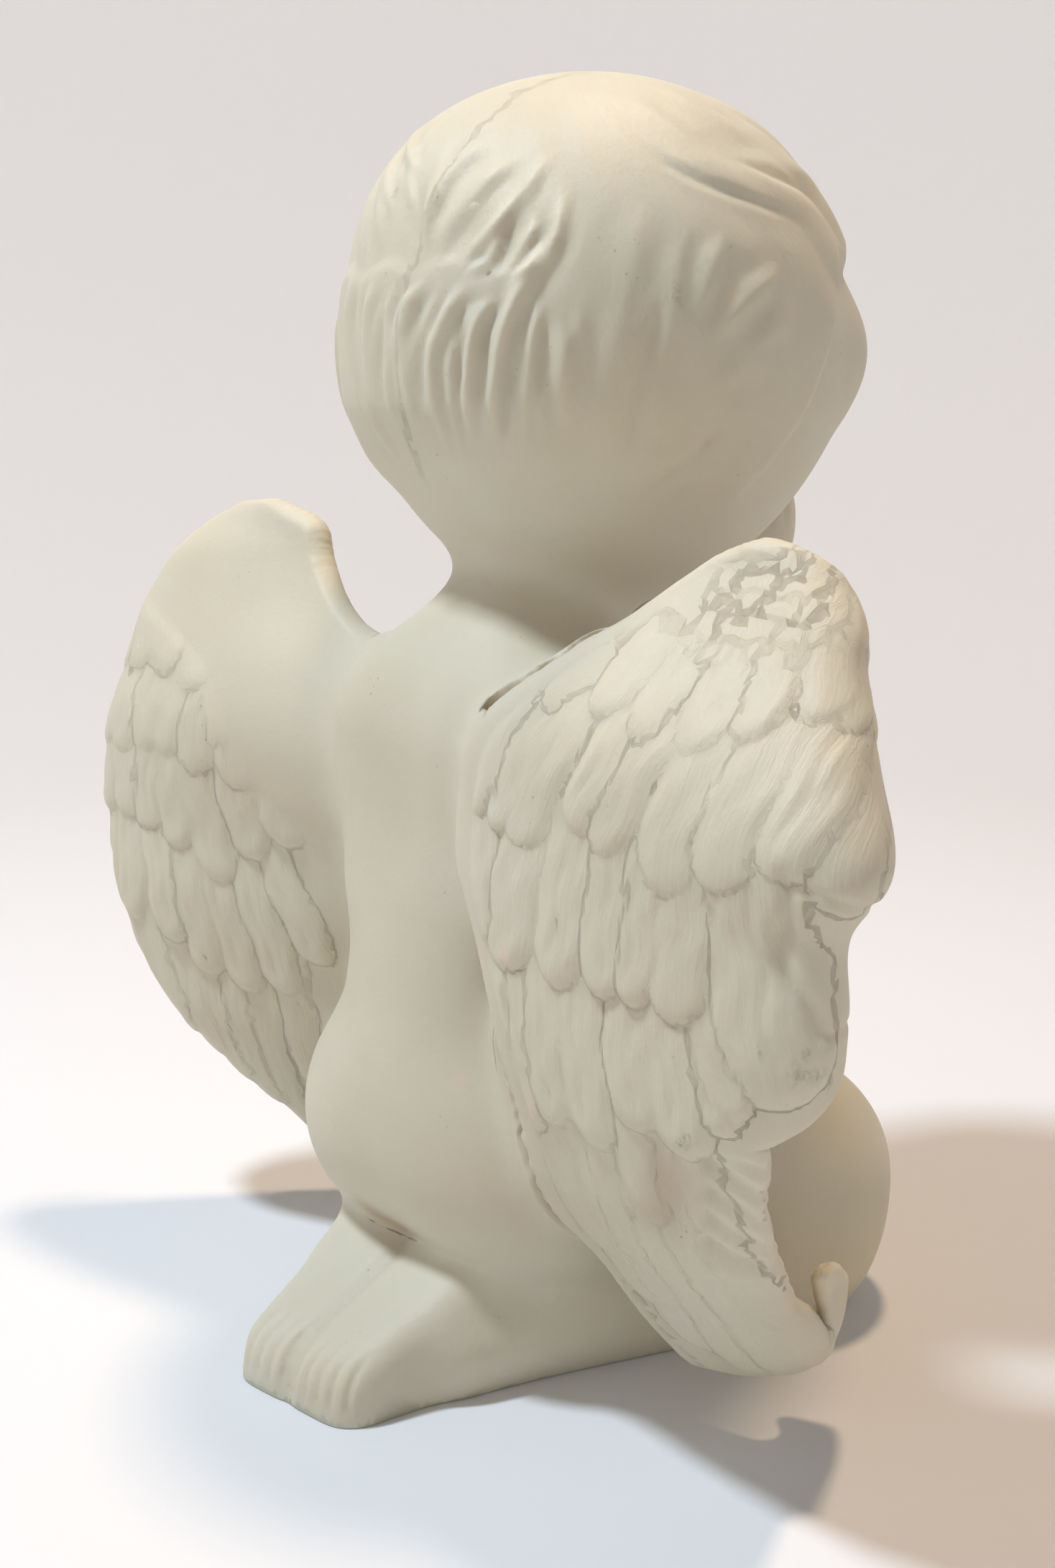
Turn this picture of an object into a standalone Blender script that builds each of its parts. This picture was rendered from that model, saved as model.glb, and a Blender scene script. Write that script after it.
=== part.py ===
import math

import bmesh
import bpy
import numpy as np
from mathutils import Vector
from mathutils.bvhtree import BVHTree

# Sizes in millimetres. The figure kneels facing -Y, +X is its left hand side, the floor is z = 0.
MM = 0.001
VOXEL = 1.1
TRIANGLES = 9600

HIP_HALF_WIDTH = 29.0
HIP_Z = 50.0
HIP_Y = 12.0
WAIST_HALF_WIDTH = 26.0
WAIST_Z = 80.0
CHEST_HALF_WIDTH = 26.0
CHEST_Z = 111.0
KNEE_X = 29.0
KNEE_Y = -38.0
KNEE_RADIUS = 24.0
TOE_Y = 59.0
TOE_HALF_WIDTH = 15.0
HEEL_Y = 24.0
HEEL_HALF_WIDTH = 21.0
HEEL_Z = 25.0
TOE_Z = 9.0

HEAD = np.array([0.0, -18.0, 182.6])
HEAD_BOW = math.radians(2.0)
HEAD_HALF_WIDTH = 45.0
HEAD_HALF_LENGTH = 47.0
HEAD_HALF_HEIGHT = 47.0
NAPE_TAPER = 0.0034
HAIR = 2.6
CROWN = np.array([-0.10, -0.24, 0.965])
FEATHER_ROWS = [(139, 5.0), (131, 6.0), (119, 8.5), (103, 11.5), (82, 11.5), (61, 11.0), (8, 9.0)]
FEATHER = 1.7

WING_ROWS = 120
WING_COLUMNS = 90
WING_ROOT_HALF = 3.6
WING_EDGE_HALF = 1.5

# One wing section at each key height: inner edge, pull of the curve, turned front rim, as (out, back).
KEY_Z = [152.5, 149, 143, 135, 121, 109, 100, 87, 75, 60, 45, 33, 21, 13.5]
LEFT_WING = dict(
    inner=[(58, 8), (54, 8), (51, 9), (44, 11), (24, 14), (22, 17), (22, 16), (21, 11), (22, 8), (27, 5), (32, 2),
           (40, 0), (48, -3), (55, -4)],
    pull=[(66, 9), (88, 13), (104, 22), (111, 29), (119, 39), (125, 45), (127, 47), (126, 49), (121, 52),
          (114, 52), (99, 48), (90, 36), (86, 14), (72, 3)],
    rim=[(73, 8), (78, 5), (81, 5), (85, 7), (89, 11), (89, 14), (88, 15), (88, 15), (86, 14), (82, 10), (74, 2),
         (65, -8), (62, -8), (60, -4)],
)
RIGHT_WING = dict(
    inner=[(60, 8), (56, 9), (49, 13), (41, 20), (26, 30), (23, 32), (23, 33), (27, 33), (31, 33), (36, 31),
           (39, 27), (45, 21), (49, 14), (53, 9)],
    pull=[(66, 9), (74, 10), (89, 16), (98, 24), (114, 38), (123, 44), (118, 44), (119, 46), (117, 46),
          (115, 43), (104, 38), (95, 27), (90, 14), (74, 5)],
    rim=[(70, 7), (74, 6), (77, 5), (79, 7), (86, 11), (90, 14), (84, 15), (84, 15), (83, 14), (80, 10), (74, 2),
         (65, -8), (62, -8), (60, -4)],
)


def clear_scene():
    for obj in list(bpy.data.objects):
        bpy.data.objects.remove(obj, do_unlink=True)


def smooth_min(a, b, k):
    h = np.clip(0.5 + 0.5 * (b - a) / k, 0.0, 1.0)
    return b + (a - b) * h - k * h * (1.0 - h)


def smooth_max(a, b, k):
    return -smooth_min(-a, -b, k)


def limb(p, a, b, ra, rb):
    """Signed distance to a tapered limb with round ends."""
    a, b = np.array(a, float), np.array(b, float)
    axis = b - a
    t = np.clip((p - a) @ axis / (axis @ axis), 0.0, 1.0)
    return np.linalg.norm(p - a - t[:, None] * axis, axis=1) - (ra + (rb - ra) * t)


def egg(p, centre, radii):
    q = p - np.array(centre, float)
    radii = np.array(radii, float)
    k0 = np.linalg.norm(q / radii, axis=1)
    k1 = np.linalg.norm(q / radii**2, axis=1)
    return k0 * (k0 - 1.0) / np.maximum(k1, 1e-9)


def head_axes():
    forward = np.array([0.0, -math.cos(HEAD_BOW), -math.sin(HEAD_BOW)])
    up = np.array([0.0, -math.sin(HEAD_BOW), math.cos(HEAD_BOW)])
    return np.array([1.0, 0.0, 0.0]), forward, up


def in_head(p):
    side, forward, up = head_axes()
    q = p - HEAD
    return np.stack([q @ side, q @ forward, q @ up], axis=1)


def body_masses():
    """Every mass of the body as (start, end, start radius, end radius, blend)."""
    masses = [
        ((0, HIP_Y, HIP_Z), (0, 6, WAIST_Z), HIP_HALF_WIDTH, WAIST_HALF_WIDTH, 6),
        ((0, 6, WAIST_Z), (0, 4, CHEST_Z), WAIST_HALF_WIDTH, CHEST_HALF_WIDTH, 8),
        ((0, 4, CHEST_Z + 2), (0, -6, 150), 17, 16, 9),
    ]
    for side in (-1, 1):
        masses += [
            ((side * 13, 15, 117), (side * 14, 14, 90), 15, 13, 10),
            ((side * 20, 4, 119), (side * 6, 4, 127), 12, 12, 9),
            ((side * 13, 14, 41), (side * 14, 6, 43), 24, 24, 8),
            ((side * 17, 4, 38), (side * KNEE_X, KNEE_Y, 25), 24, KNEE_RADIUS, 8),
            ((side * (KNEE_X + 2), KNEE_Y, 12), (side * 13, 30, 8), 19, 11, 8),
            ((side * 28, -2, 116), (side * 27, -34, 98), 11, 9, 8),
            ((side * 27, -34, 98), (side * 8, -54, 139), 9, 6.5, 6),
        ]
    return masses


def feet(p):
    """Both feet as one block with the soles turned up, sloping from the heels to the toes."""
    t = np.clip((p[:, 1] - HEEL_Y) / (TOE_Y - HEEL_Y), -0.4, 1.2)
    half = HEEL_HALF_WIDTH + (TOE_HALF_WIDTH - HEEL_HALF_WIDTH) * t
    top = HEEL_Z + (TOE_Z - HEEL_Z) * t
    side = np.abs(p[:, 0]) - half
    block = smooth_max(side, p[:, 2] - top, 6.0)
    block = smooth_max(block, p[:, 1] - TOE_Y - 0.10 * p[:, 0], 6.0)
    block = smooth_max(block, -10.0 - p[:, 1], 6.0)
    groove = 1.8 * np.exp(-((p[:, 0] / 1.5) ** 2)) * np.clip((p[:, 2] + 2.0) / 6.0, 0.0, 1.0)
    return block + groove


def hands(p):
    """Two palms pressed together below the chin."""
    d = None
    for side in (-1, 1):
        palm = egg(p, (side * 5.5, -59, 150), (5.5, 8.5, 12.0))
        fingers = limb(p, (side * 4.5, -60, 154), (side * 3.5, -60, 163), 5.5, 4.0)
        thumb = limb(p, (side * 6, -51, 149), (side * 4, -50, 158), 3.4, 2.6)
        for e in (palm, fingers, thumb):
            d = e if d is None else smooth_min(d, e, 2.5)
    return d


def head(p):
    q = in_head(p)
    taper = 1.0 + NAPE_TAPER * np.clip(-10.0 - q[:, 2], 0.0, 40.0)
    wide = q * np.stack([taper, taper, np.ones(len(q))], axis=1)
    d = egg(wide, (0, 0, 0), (HEAD_HALF_WIDTH, HEAD_HALF_LENGTH, HEAD_HALF_HEIGHT))
    throat = (q[:, 1] - 42.0) * 0.57 - (q[:, 2] + 24.0) * 0.82
    d = smooth_max(d, throat, 8.0)
    for side in (-1, 1):
        d = smooth_min(d, np.linalg.norm(q - np.array([side * 24, 26.5, 1]), axis=1) - 13.5, 5)
        socket = np.linalg.norm((q - np.array([side * 14, 49, 9])) / np.array([1.0, 0.8, 0.8]), axis=1) - 7.5
        d = smooth_max(d, -socket, 4)
        d = smooth_min(d, egg(q, (side * 13.5, 38.5, 7.5), (6.0, 5.0, 4.0)), 2)
    d = smooth_min(d, np.linalg.norm(q - np.array([0, 39, -17]), axis=1) - 7.5, 6)
    d = smooth_min(d, limb(q, (0, 43, 8), (0, 48, -1), 2.2, 3.3), 3)
    d = smooth_min(d, egg(q, (0, 44.5, -8.6), (6.0, 2.6, 1.6)), 1.6)
    return smooth_min(d, egg(q, (0, 44.2, -11.4), (4.8, 2.6, 1.6)), 1.6)


def body(p):
    d = None
    for a, b, ra, rb, blend in body_masses():
        e = limb(p, a, b, ra, rb)
        d = e if d is None else smooth_min(d, e, blend)
    d = smooth_min(d, feet(p), 5.0)
    d = smooth_min(d, hands(p), 3.0)
    return smooth_min(d, head(p), 5.0)


def eased(values, at):
    """Values at the key heights, run through smoothly."""
    keys = np.array(KEY_Z[::-1], float)
    values = np.array(values[::-1], float)
    slopes = np.gradient(values, keys)
    at = np.clip(at, keys[0], keys[-1])
    i = np.clip(np.searchsorted(keys, at) - 1, 0, len(keys) - 2)
    gap = keys[i + 1] - keys[i]
    t = (at - keys[i]) / gap
    return (
        values[i] * (2 * t**3 - 3 * t**2 + 1)
        + slopes[i] * gap * (t**3 - 2 * t**2 + t)
        + values[i + 1] * (3 * t**2 - 2 * t**3)
        + slopes[i + 1] * gap * (t**3 - t**2)
    )


def lost(a, z):
    """Where the outer half of the right wing is broken away, between its band and its tip."""
    across = (a - 0.465 - 0.010 * math.sin(z * 0.9)) / 0.535
    band_end = 69.5 + 14.0 * across
    lip = 31.0 + 3.0 * across + 1.2 * math.sin(across * 9.0)
    return across > 0.0 and lip < z < band_end


def wing_sheet(wing, side, broken):
    """The middle sheet of a wing: points, faces and the thickness of each point."""
    z = np.linspace(KEY_Z[0], KEY_Z[-1], WING_ROWS)
    a = np.linspace(0.0, 1.0, WING_COLUMNS)
    curve = {
        name: np.stack([eased([p[0] for p in wing[name]], z), eased([p[1] for p in wing[name]], z)], axis=1)
        for name in ("inner", "pull", "rim")
    }
    t = a[None, :, None]
    flat = (
        (1 - t) ** 2 * curve["inner"][:, None] + 2 * t * (1 - t) * curve["pull"][:, None] + t**2 * curve["rim"][:, None]
    )
    points = np.empty((WING_ROWS, WING_COLUMNS, 3))
    points[..., 0] = side * flat[..., 0]
    points[..., 1] = flat[..., 1]
    points[..., 2] = z[:, None]
    half = WING_ROOT_HALF + (WING_EDGE_HALF - WING_ROOT_HALF) * np.clip(a * 1.3, 0, 1)[None, :] ** 0.8
    half = np.repeat(half, WING_ROWS, axis=0)
    faces = []
    for i in range(WING_ROWS - 1):
        for j in range(WING_COLUMNS - 1):
            if broken and lost(a[j], z[i]):
                continue
            k = i * WING_COLUMNS + j
            quad = (k, k + 1, k + WING_COLUMNS + 1, k + WING_COLUMNS)
            faces.append(quad if side > 0 else quad[::-1])
    return points.reshape(-1, 3), faces, half.reshape(-1)


def object_from(name, points, faces):
    mesh = bpy.data.meshes.new(name)
    mesh.from_pydata([tuple(p) for p in points], [], faces)
    mesh.update()
    obj = bpy.data.objects.new(name, mesh)
    bpy.context.scene.collection.objects.link(obj)
    return obj


def apply_modifiers(obj):
    graph = bpy.context.evaluated_depsgraph_get()
    mesh = bpy.data.meshes.new_from_object(obj.evaluated_get(graph))
    obj.modifiers.clear()
    old, obj.data = obj.data, mesh
    bpy.data.meshes.remove(old)


def coordinates(mesh):
    co = np.empty(len(mesh.vertices) * 3)
    mesh.vertices.foreach_get("co", co)
    return co.reshape(-1, 3)


def rough_figure(sheets):
    """Round beads along every limb, a scaled ball for the head, a block for the feet and both wing sheets."""
    bm = bmesh.new()

    def ball(centre, radii):
        made = bmesh.ops.create_icosphere(bm, subdivisions=3, radius=1.0)
        for v in made["verts"]:
            v.co = Vector([c + r * x for c, r, x in zip(centre, radii, v.co)])

    for a, b, ra, rb, blend in body_masses():
        a, b = np.array(a, float), np.array(b, float)
        steps = max(2, int(np.linalg.norm(b - a) / 5.0))
        for t in np.linspace(0.0, 1.0, steps):
            r = ra + (rb - ra) * t
            ball(a + (b - a) * t, (r, r, r))
    ball((-19, 26, 108), (9, 9, 22))
    ball(HEAD, (HEAD_HALF_WIDTH, HEAD_HALF_LENGTH, HEAD_HALF_HEIGHT))
    side, forward, up = head_axes()
    ball(HEAD + 39 * forward - 17 * up, (8, 8, 8))
    ball(HEAD + 46 * forward + 2 * up, (4, 4, 6))
    for s in (-1, 1):
        ball(HEAD + s * 22.5 * side + 25 * forward, (15.5, 15.5, 15.5))
        ball((s * 5, -59, 152), (6, 8.5, 14))
    for y in np.linspace(0, TOE_Y - 6, 12):
        t = (y - HEEL_Y) / (TOE_Y - HEEL_Y)
        half = HEEL_HALF_WIDTH + (TOE_HALF_WIDTH - HEEL_HALF_WIDTH) * t
        top = HEEL_Z + (TOE_Z - HEEL_Z) * t
        for s in (-1, 1):
            for z in (0, top - 6):
                ball((s * (half - 7), y, z), (7, 7, 7))
                ball((s * 4, y, z), (7, 7, 7))
    mesh = bpy.data.meshes.new("rough")
    bm.to_mesh(mesh)
    bm.free()
    obj = bpy.data.objects.new("angel_figure", mesh)
    bpy.context.scene.collection.objects.link(obj)
    for points, half, faces in sheets:
        wing = object_from("wing", points, faces)
        solid = wing.modifiers.new("thickness", "SOLIDIFY")
        solid.thickness = 5.0
        solid.offset = 0.0
        apply_modifiers(wing)
        bm = bmesh.new()
        bm.from_mesh(obj.data)
        bm.from_mesh(wing.data)
        bm.to_mesh(obj.data)
        bm.free()
        bpy.data.objects.remove(wing, do_unlink=True)
    return obj


def wing_distance(p, sheet):
    """Distance to the thick sheet, its direction, and where on the sheet the nearest spot lies."""
    tree, points, half, faces = sheet
    d = np.full(len(p), 60.0)
    away = np.zeros((len(p), 3))
    spots = np.zeros((len(p), 3))
    front = np.zeros(len(p))
    cell = np.full(len(p), -1)
    side = 1.0 if points[0, 0] > 0 else -1.0
    for i in np.nonzero(p[:, 0] * side > 6)[0]:
        spot, normal, index, distance = tree.find_nearest(p[i], 30.0)
        if index is None:
            continue
        cell[i] = faces[index][0] if side > 0 else faces[index][3]
        d[i] = distance - half[cell[i]]
        away[i] = (p[i] - np.array(spot)) / max(distance, 1e-6)
        spots[i] = spot
        front[i] = away[i] @ np.array(normal)
    return d, away, spots, front, cell


def blend(a, da, b, db, k):
    """smooth_min of two distances and of their slopes."""
    h = np.clip(0.5 + 0.5 * (b - a) / k, 0.0, 1.0)
    return b + (a - b) * h - k * h * (1.0 - h), db + (da - db) * h[:, None]


def settle(p, sheets, rounds):
    """Moves each point of the rough skin onto the blended surface."""
    for _ in range(rounds):
        d = body(p)
        grad = np.stack([(body(p + 0.2 * axis) - d) / 0.2 for axis in np.eye(3)], axis=1)
        for sheet in sheets:
            w, away = wing_distance(p, sheet)[:2]
            d, grad = blend(d, grad, w, away, 9.0)
        length = np.maximum(np.linalg.norm(grad, axis=1), 0.35)
        move = -(d / length**2)[:, None] * grad
        far = np.linalg.norm(move, axis=1)
        p = p + move * np.minimum(1.0, 3.0 / np.maximum(far, 1e-9))[:, None]
    return p


def step(x):
    x = np.clip(x, 0.0, 1.0)
    return x * x * (3.0 - 2.0 * x)


def hair_height(p):
    """Height of the hair over the scalp: two tiers of locks that fan out from the crown."""
    q = in_head(p)
    r = np.linalg.norm(q, axis=1)
    u = q / np.maximum(r, 1e-6)[:, None]
    crown = CROWN / np.linalg.norm(CROWN)
    first = np.cross(crown, np.array([1.0, 0.0, 0.0]))
    first /= np.linalg.norm(first)
    second = np.cross(crown, first)
    down = np.degrees(np.arccos(np.clip(u @ crown, -1.0, 1.0)))
    round_ = np.arctan2(u @ second, u @ first)
    turn = np.degrees(np.abs(np.arctan2(q[:, 0], q[:, 1])))
    line = 14.0 - 44.0 * step((turn - 62.0) / 30.0)
    scallop = np.abs(np.sin(round_ * 11.0))
    on_head = step((q[:, 2] - line - 2.5 * scallop) / 4.0) * step((r - 36.0) / 6.0)
    swirl = round_ + 0.006 * down + 0.10 * np.sin(3.0 * round_ + 1.0)
    total = np.zeros(len(p))
    for count, shift, tip in ((15, 0.2, 50.0), (24, 0.55, 200.0)):
        across = swirl * count / (2.0 * math.pi) + shift
        part = 2.0 * (across - np.floor(across)) - 1.0
        lock = 1.0 - part**2
        inside = step((tip + 5.0 * lock - down) / 4.0)
        total = np.maximum(total, inside * ((0.9 if tip < 100 else 0.0) + 1.1 * lock * step(down / 25.0)))
    return on_head * (total + (HAIR - 1.0) * step((q[:, 2] + 45.0) / 35.0))


def row_arc(points):
    grid = points.reshape(WING_ROWS, WING_COLUMNS, 3)
    gaps = np.linalg.norm(np.diff(grid, axis=1), axis=2)
    return np.concatenate([np.zeros((WING_ROWS, 1)), np.cumsum(gaps, axis=1)], axis=1).reshape(-1)


def feather_height(arc, z):
    """Overlapping feather rows: each feather thickens towards its round tip."""
    total = np.zeros(len(z))
    top = FEATHER_ROWS[0][0] + 9.0
    for number, (low, width) in enumerate(FEATHER_ROWS):
        across = arc / width + 0.5 * (number % 2) + 0.15 * np.sin(arc * 0.21 + number)
        part = 2.0 * (across - np.floor(across)) - 1.0
        tip = low + 2.0 * np.sin(arc * 0.09 + number) + 0.42 * width * part**2
        inside = step((z - tip) / 1.2)
        length = np.clip((top + 4.0 - z) / (top + 4.0 - low), 0.0, 1.0)
        height = 0.25 + 0.75 * length - 0.35 * part**2 * length
        total = np.maximum(total, inside * height * step((top + 8.0 - z) / 6.0))
        top = low
    return total


def relief(p, normals, sheets):
    """How far each point stands out from the plain surface."""
    out = hair_height(p)
    for sheet, arc in sheets:
        d, away, spots, front, cell = wing_distance(p, sheet)
        near = (cell >= 0) * step((2.5 - np.abs(d)) / 2.0)
        fade = step((arc[cell] - 6.0) / 8.0) * step((arc[cell] + (spots[:, 2] - 120.0) * -0.6 - 2.0) / 10.0)
        back = step(0.5 + front * 0.8)
        height = feather_height(arc[cell], spots[:, 2])
        out += near * fade * (back * FEATHER * height + (1.0 - back) * 0.35 * FEATHER * height)
    toes = step((p[:, 1] - TOE_Y + 9.0) / 5.0) * step((p[:, 2] - 1.0) / 4.0)
    out -= toes * 0.8 * np.abs(np.sin(math.pi * p[:, 0] / 3.0)) ** 4 * (np.abs(p[:, 0]) > 1.5)
    fingers = step((p[:, 2] - 149.0) / 4.0) * (p[:, 1] < -52.0) * (np.abs(p[:, 0]) < 12.0) * (p[:, 2] < 170.0)
    out -= fingers * 0.7 * np.abs(np.cos(math.pi * (p[:, 1] + 60.0) / 4.2)) ** 6 * step(np.abs(normals[:, 0]) * 2.0)
    return out


def keep_largest(obj):
    bm = bmesh.new()
    bm.from_mesh(obj.data)
    bm.verts.ensure_lookup_table()
    seen, groups = set(), []
    for start in bm.verts:
        if start.index in seen:
            continue
        seen.add(start.index)
        group, stack = [], [start]
        while stack:
            v = stack.pop()
            group.append(v)
            for e in v.link_edges:
                o = e.other_vert(v)
                if o.index not in seen:
                    seen.add(o.index)
                    stack.append(o)
        groups.append(group)
    groups.sort(key=len)
    print("loose shells", [len(g) for g in groups])
    for group in groups[:-1]:
        bmesh.ops.delete(bm, geom=group, context="VERTS")
    bm.to_mesh(obj.data)
    bm.free()


def flatten_underside(obj):
    """Cuts everything below the floor plane and closes the cut with a flat face."""
    bm = bmesh.new()
    bm.from_mesh(obj.data)
    everything = list(bm.verts) + list(bm.edges) + list(bm.faces)
    cut = bmesh.ops.bisect_plane(
        bm, geom=everything, dist=1e-6, plane_co=(0, 0, 0), plane_no=(0, 0, 1), clear_inner=True
    )
    edges = [e for e in cut["geom_cut"] if isinstance(e, bmesh.types.BMEdge)]
    bmesh.ops.holes_fill(bm, edges=edges, sides=0)
    bmesh.ops.triangulate(bm, faces=[f for f in bm.faces if len(f.verts) > 4])
    bmesh.ops.recalc_face_normals(bm, faces=list(bm.faces))
    bm.to_mesh(obj.data)
    bm.free()


def bisque():
    material = bpy.data.materials.new("bisque")
    material.use_nodes = True
    shader = material.node_tree.nodes["Principled BSDF"]
    shader.inputs["Base Color"].default_value = (0.80, 0.76, 0.67, 1.0)
    shader.inputs["Roughness"].default_value = 0.62
    shader.inputs["Metallic"].default_value = 0.0
    return material


def build():
    clear_scene()
    sheets = []
    for wing, side, broken in ((LEFT_WING, 1, False), (RIGHT_WING, -1, True)):
        points, faces, half = wing_sheet(wing, side, broken)
        tree = BVHTree.FromPolygons([tuple(q) for q in points], faces)
        sheets.append((tree, points, half, faces))
    obj = rough_figure([sheet[1:] for sheet in sheets])
    remesh = obj.modifiers.new("skin", "REMESH")
    remesh.mode = "VOXEL"
    remesh.voxel_size = VOXEL
    remesh.adaptivity = 0.0
    apply_modifiers(obj)
    keep_largest(obj)
    p = settle(coordinates(obj.data), sheets, 3)
    obj.data.vertices.foreach_set("co", p.reshape(-1))
    obj.data.update()
    normals = np.empty(len(p) * 3)
    obj.data.vertices.foreach_get("normal", normals)
    normals = normals.reshape(-1, 3)
    p = p + normals * relief(p, normals, [(sheet, row_arc(sheet[1])) for sheet in sheets])[:, None]
    obj.data.vertices.foreach_set("co", p.reshape(-1))
    obj.data.update()
    fewer = obj.modifiers.new("fewer", "DECIMATE")
    fewer.ratio = TRIANGLES / (2.0 * len(obj.data.polygons))
    apply_modifiers(obj)
    flatten_underside(obj)
    keep_largest(obj)
    p = coordinates(obj.data)
    middle = 0.5 * (p.min(axis=0) + p.max(axis=0)) * np.array([1.0, 1.0, 0.0])
    obj.data.vertices.foreach_set("co", ((p - middle) * MM).reshape(-1))
    obj.data.update()
    obj.data.materials.append(bisque())
    for polygon in obj.data.polygons:
        polygon.use_smooth = True
    print("triangles", sum(len(f.vertices) - 2 for f in obj.data.polygons))
    print("middle", middle, "size", np.ptp(p, axis=0))


build()
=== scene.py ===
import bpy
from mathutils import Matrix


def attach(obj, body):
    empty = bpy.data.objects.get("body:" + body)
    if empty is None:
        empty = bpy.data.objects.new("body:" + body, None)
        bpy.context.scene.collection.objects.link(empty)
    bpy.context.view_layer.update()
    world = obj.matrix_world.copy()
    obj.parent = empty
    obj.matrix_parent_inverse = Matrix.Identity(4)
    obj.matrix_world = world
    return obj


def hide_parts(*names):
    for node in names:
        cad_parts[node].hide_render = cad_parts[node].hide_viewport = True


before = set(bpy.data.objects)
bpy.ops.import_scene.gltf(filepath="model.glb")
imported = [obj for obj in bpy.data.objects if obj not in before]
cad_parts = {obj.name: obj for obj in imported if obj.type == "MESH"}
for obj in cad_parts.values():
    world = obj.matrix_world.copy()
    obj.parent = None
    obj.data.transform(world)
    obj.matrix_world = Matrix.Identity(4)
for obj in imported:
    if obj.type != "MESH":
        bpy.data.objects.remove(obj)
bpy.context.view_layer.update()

import math

import bmesh
import bpy
import numpy as np
from mathutils import Vector
from mathutils.bvhtree import BVHTree

# ---------------------------------------------------------------- casting
# lengths in millimetres, the figure faces -Y, +X is its left side; middle is where the part's own centre lies
casting = dict(
    voxel=0.64,
    triangles=192000,
    middle=(0.357, -4.449, 0.0),
    hipHalf=29.0, hipZ=50.0, hipY=12.0,
    waistHalf=26.0, waistZ=80.0,
    chestHalf=26.0, chestZ=111.0,
    kneeX=29.0, kneeY=-38.0, kneeRadius=24.0,
    toeY=59.0, toeHalf=15.0, toeZ=9.0,
    heelY=24.0, heelHalf=21.0, heelZ=25.0,
)
headForm = dict(
    at=np.array([0.0, -18.0, 182.6]), bow=math.radians(2.0),
    halfWidth=45.0, halfLength=47.0, halfHeight=47.0, napeTaper=0.0034,
    hair=2.6, crown=np.array([-0.10, -0.24, 0.965]), fullest=np.array([0.45, -0.55, 0.70]),
)
wingForm = dict(
    rows=300, columns=230, rootHalf=3.6, edgeHalf=1.35, roundFrom=148.0, roundBy=4.9,
    keyZ=[152.5, 149, 143, 135, 121, 109, 100, 87, 75, 60, 45, 33, 21, 13.5],
    left=dict(
        inner=[(57, 8), (54, 8), (51, 9), (44, 11), (24, 14), (22, 17), (22, 16), (21, 11), (22, 8), (27, 5),
               (32, 2), (40, 0), (48, -3), (55, -4)],
        pull=[(74, 9), (95, 13), (110, 22), (118, 29), (121, 39), (125, 45), (127, 47), (126, 49), (121, 52),
              (114, 52), (99, 48), (90, 36), (86, 14), (72, 3)],
        rim=[(80, 8), (82, 5), (84, 5), (88, 7), (90, 11), (89, 14), (88, 15), (88, 15), (86, 14), (82, 10),
             (74, 2), (65, -8), (62, -8), (60, -4)],
    ),
    right=dict(
        inner=[(60, 8), (56, 9), (49, 13), (41, 20), (26, 30), (23, 32), (23, 33), (27, 33), (31, 33), (36, 31),
               (39, 27), (45, 21), (49, 14), (53, 9)],
        pull=[(66, 9), (74, 10), (89, 16), (98, 24), (114, 38), (123, 44), (118, 44), (119, 46), (117, 46),
              (115, 43), (104, 38), (95, 27), (90, 14), (74, 5)],
        rim=[(70, 7), (74, 6), (77, 5), (79, 7), (86, 11), (90, 14), (84, 15), (84, 15), (83, 14), (80, 10),
             (75, 1), (69, -10), (67, -9), (62, -5)],
    ),
)
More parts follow.
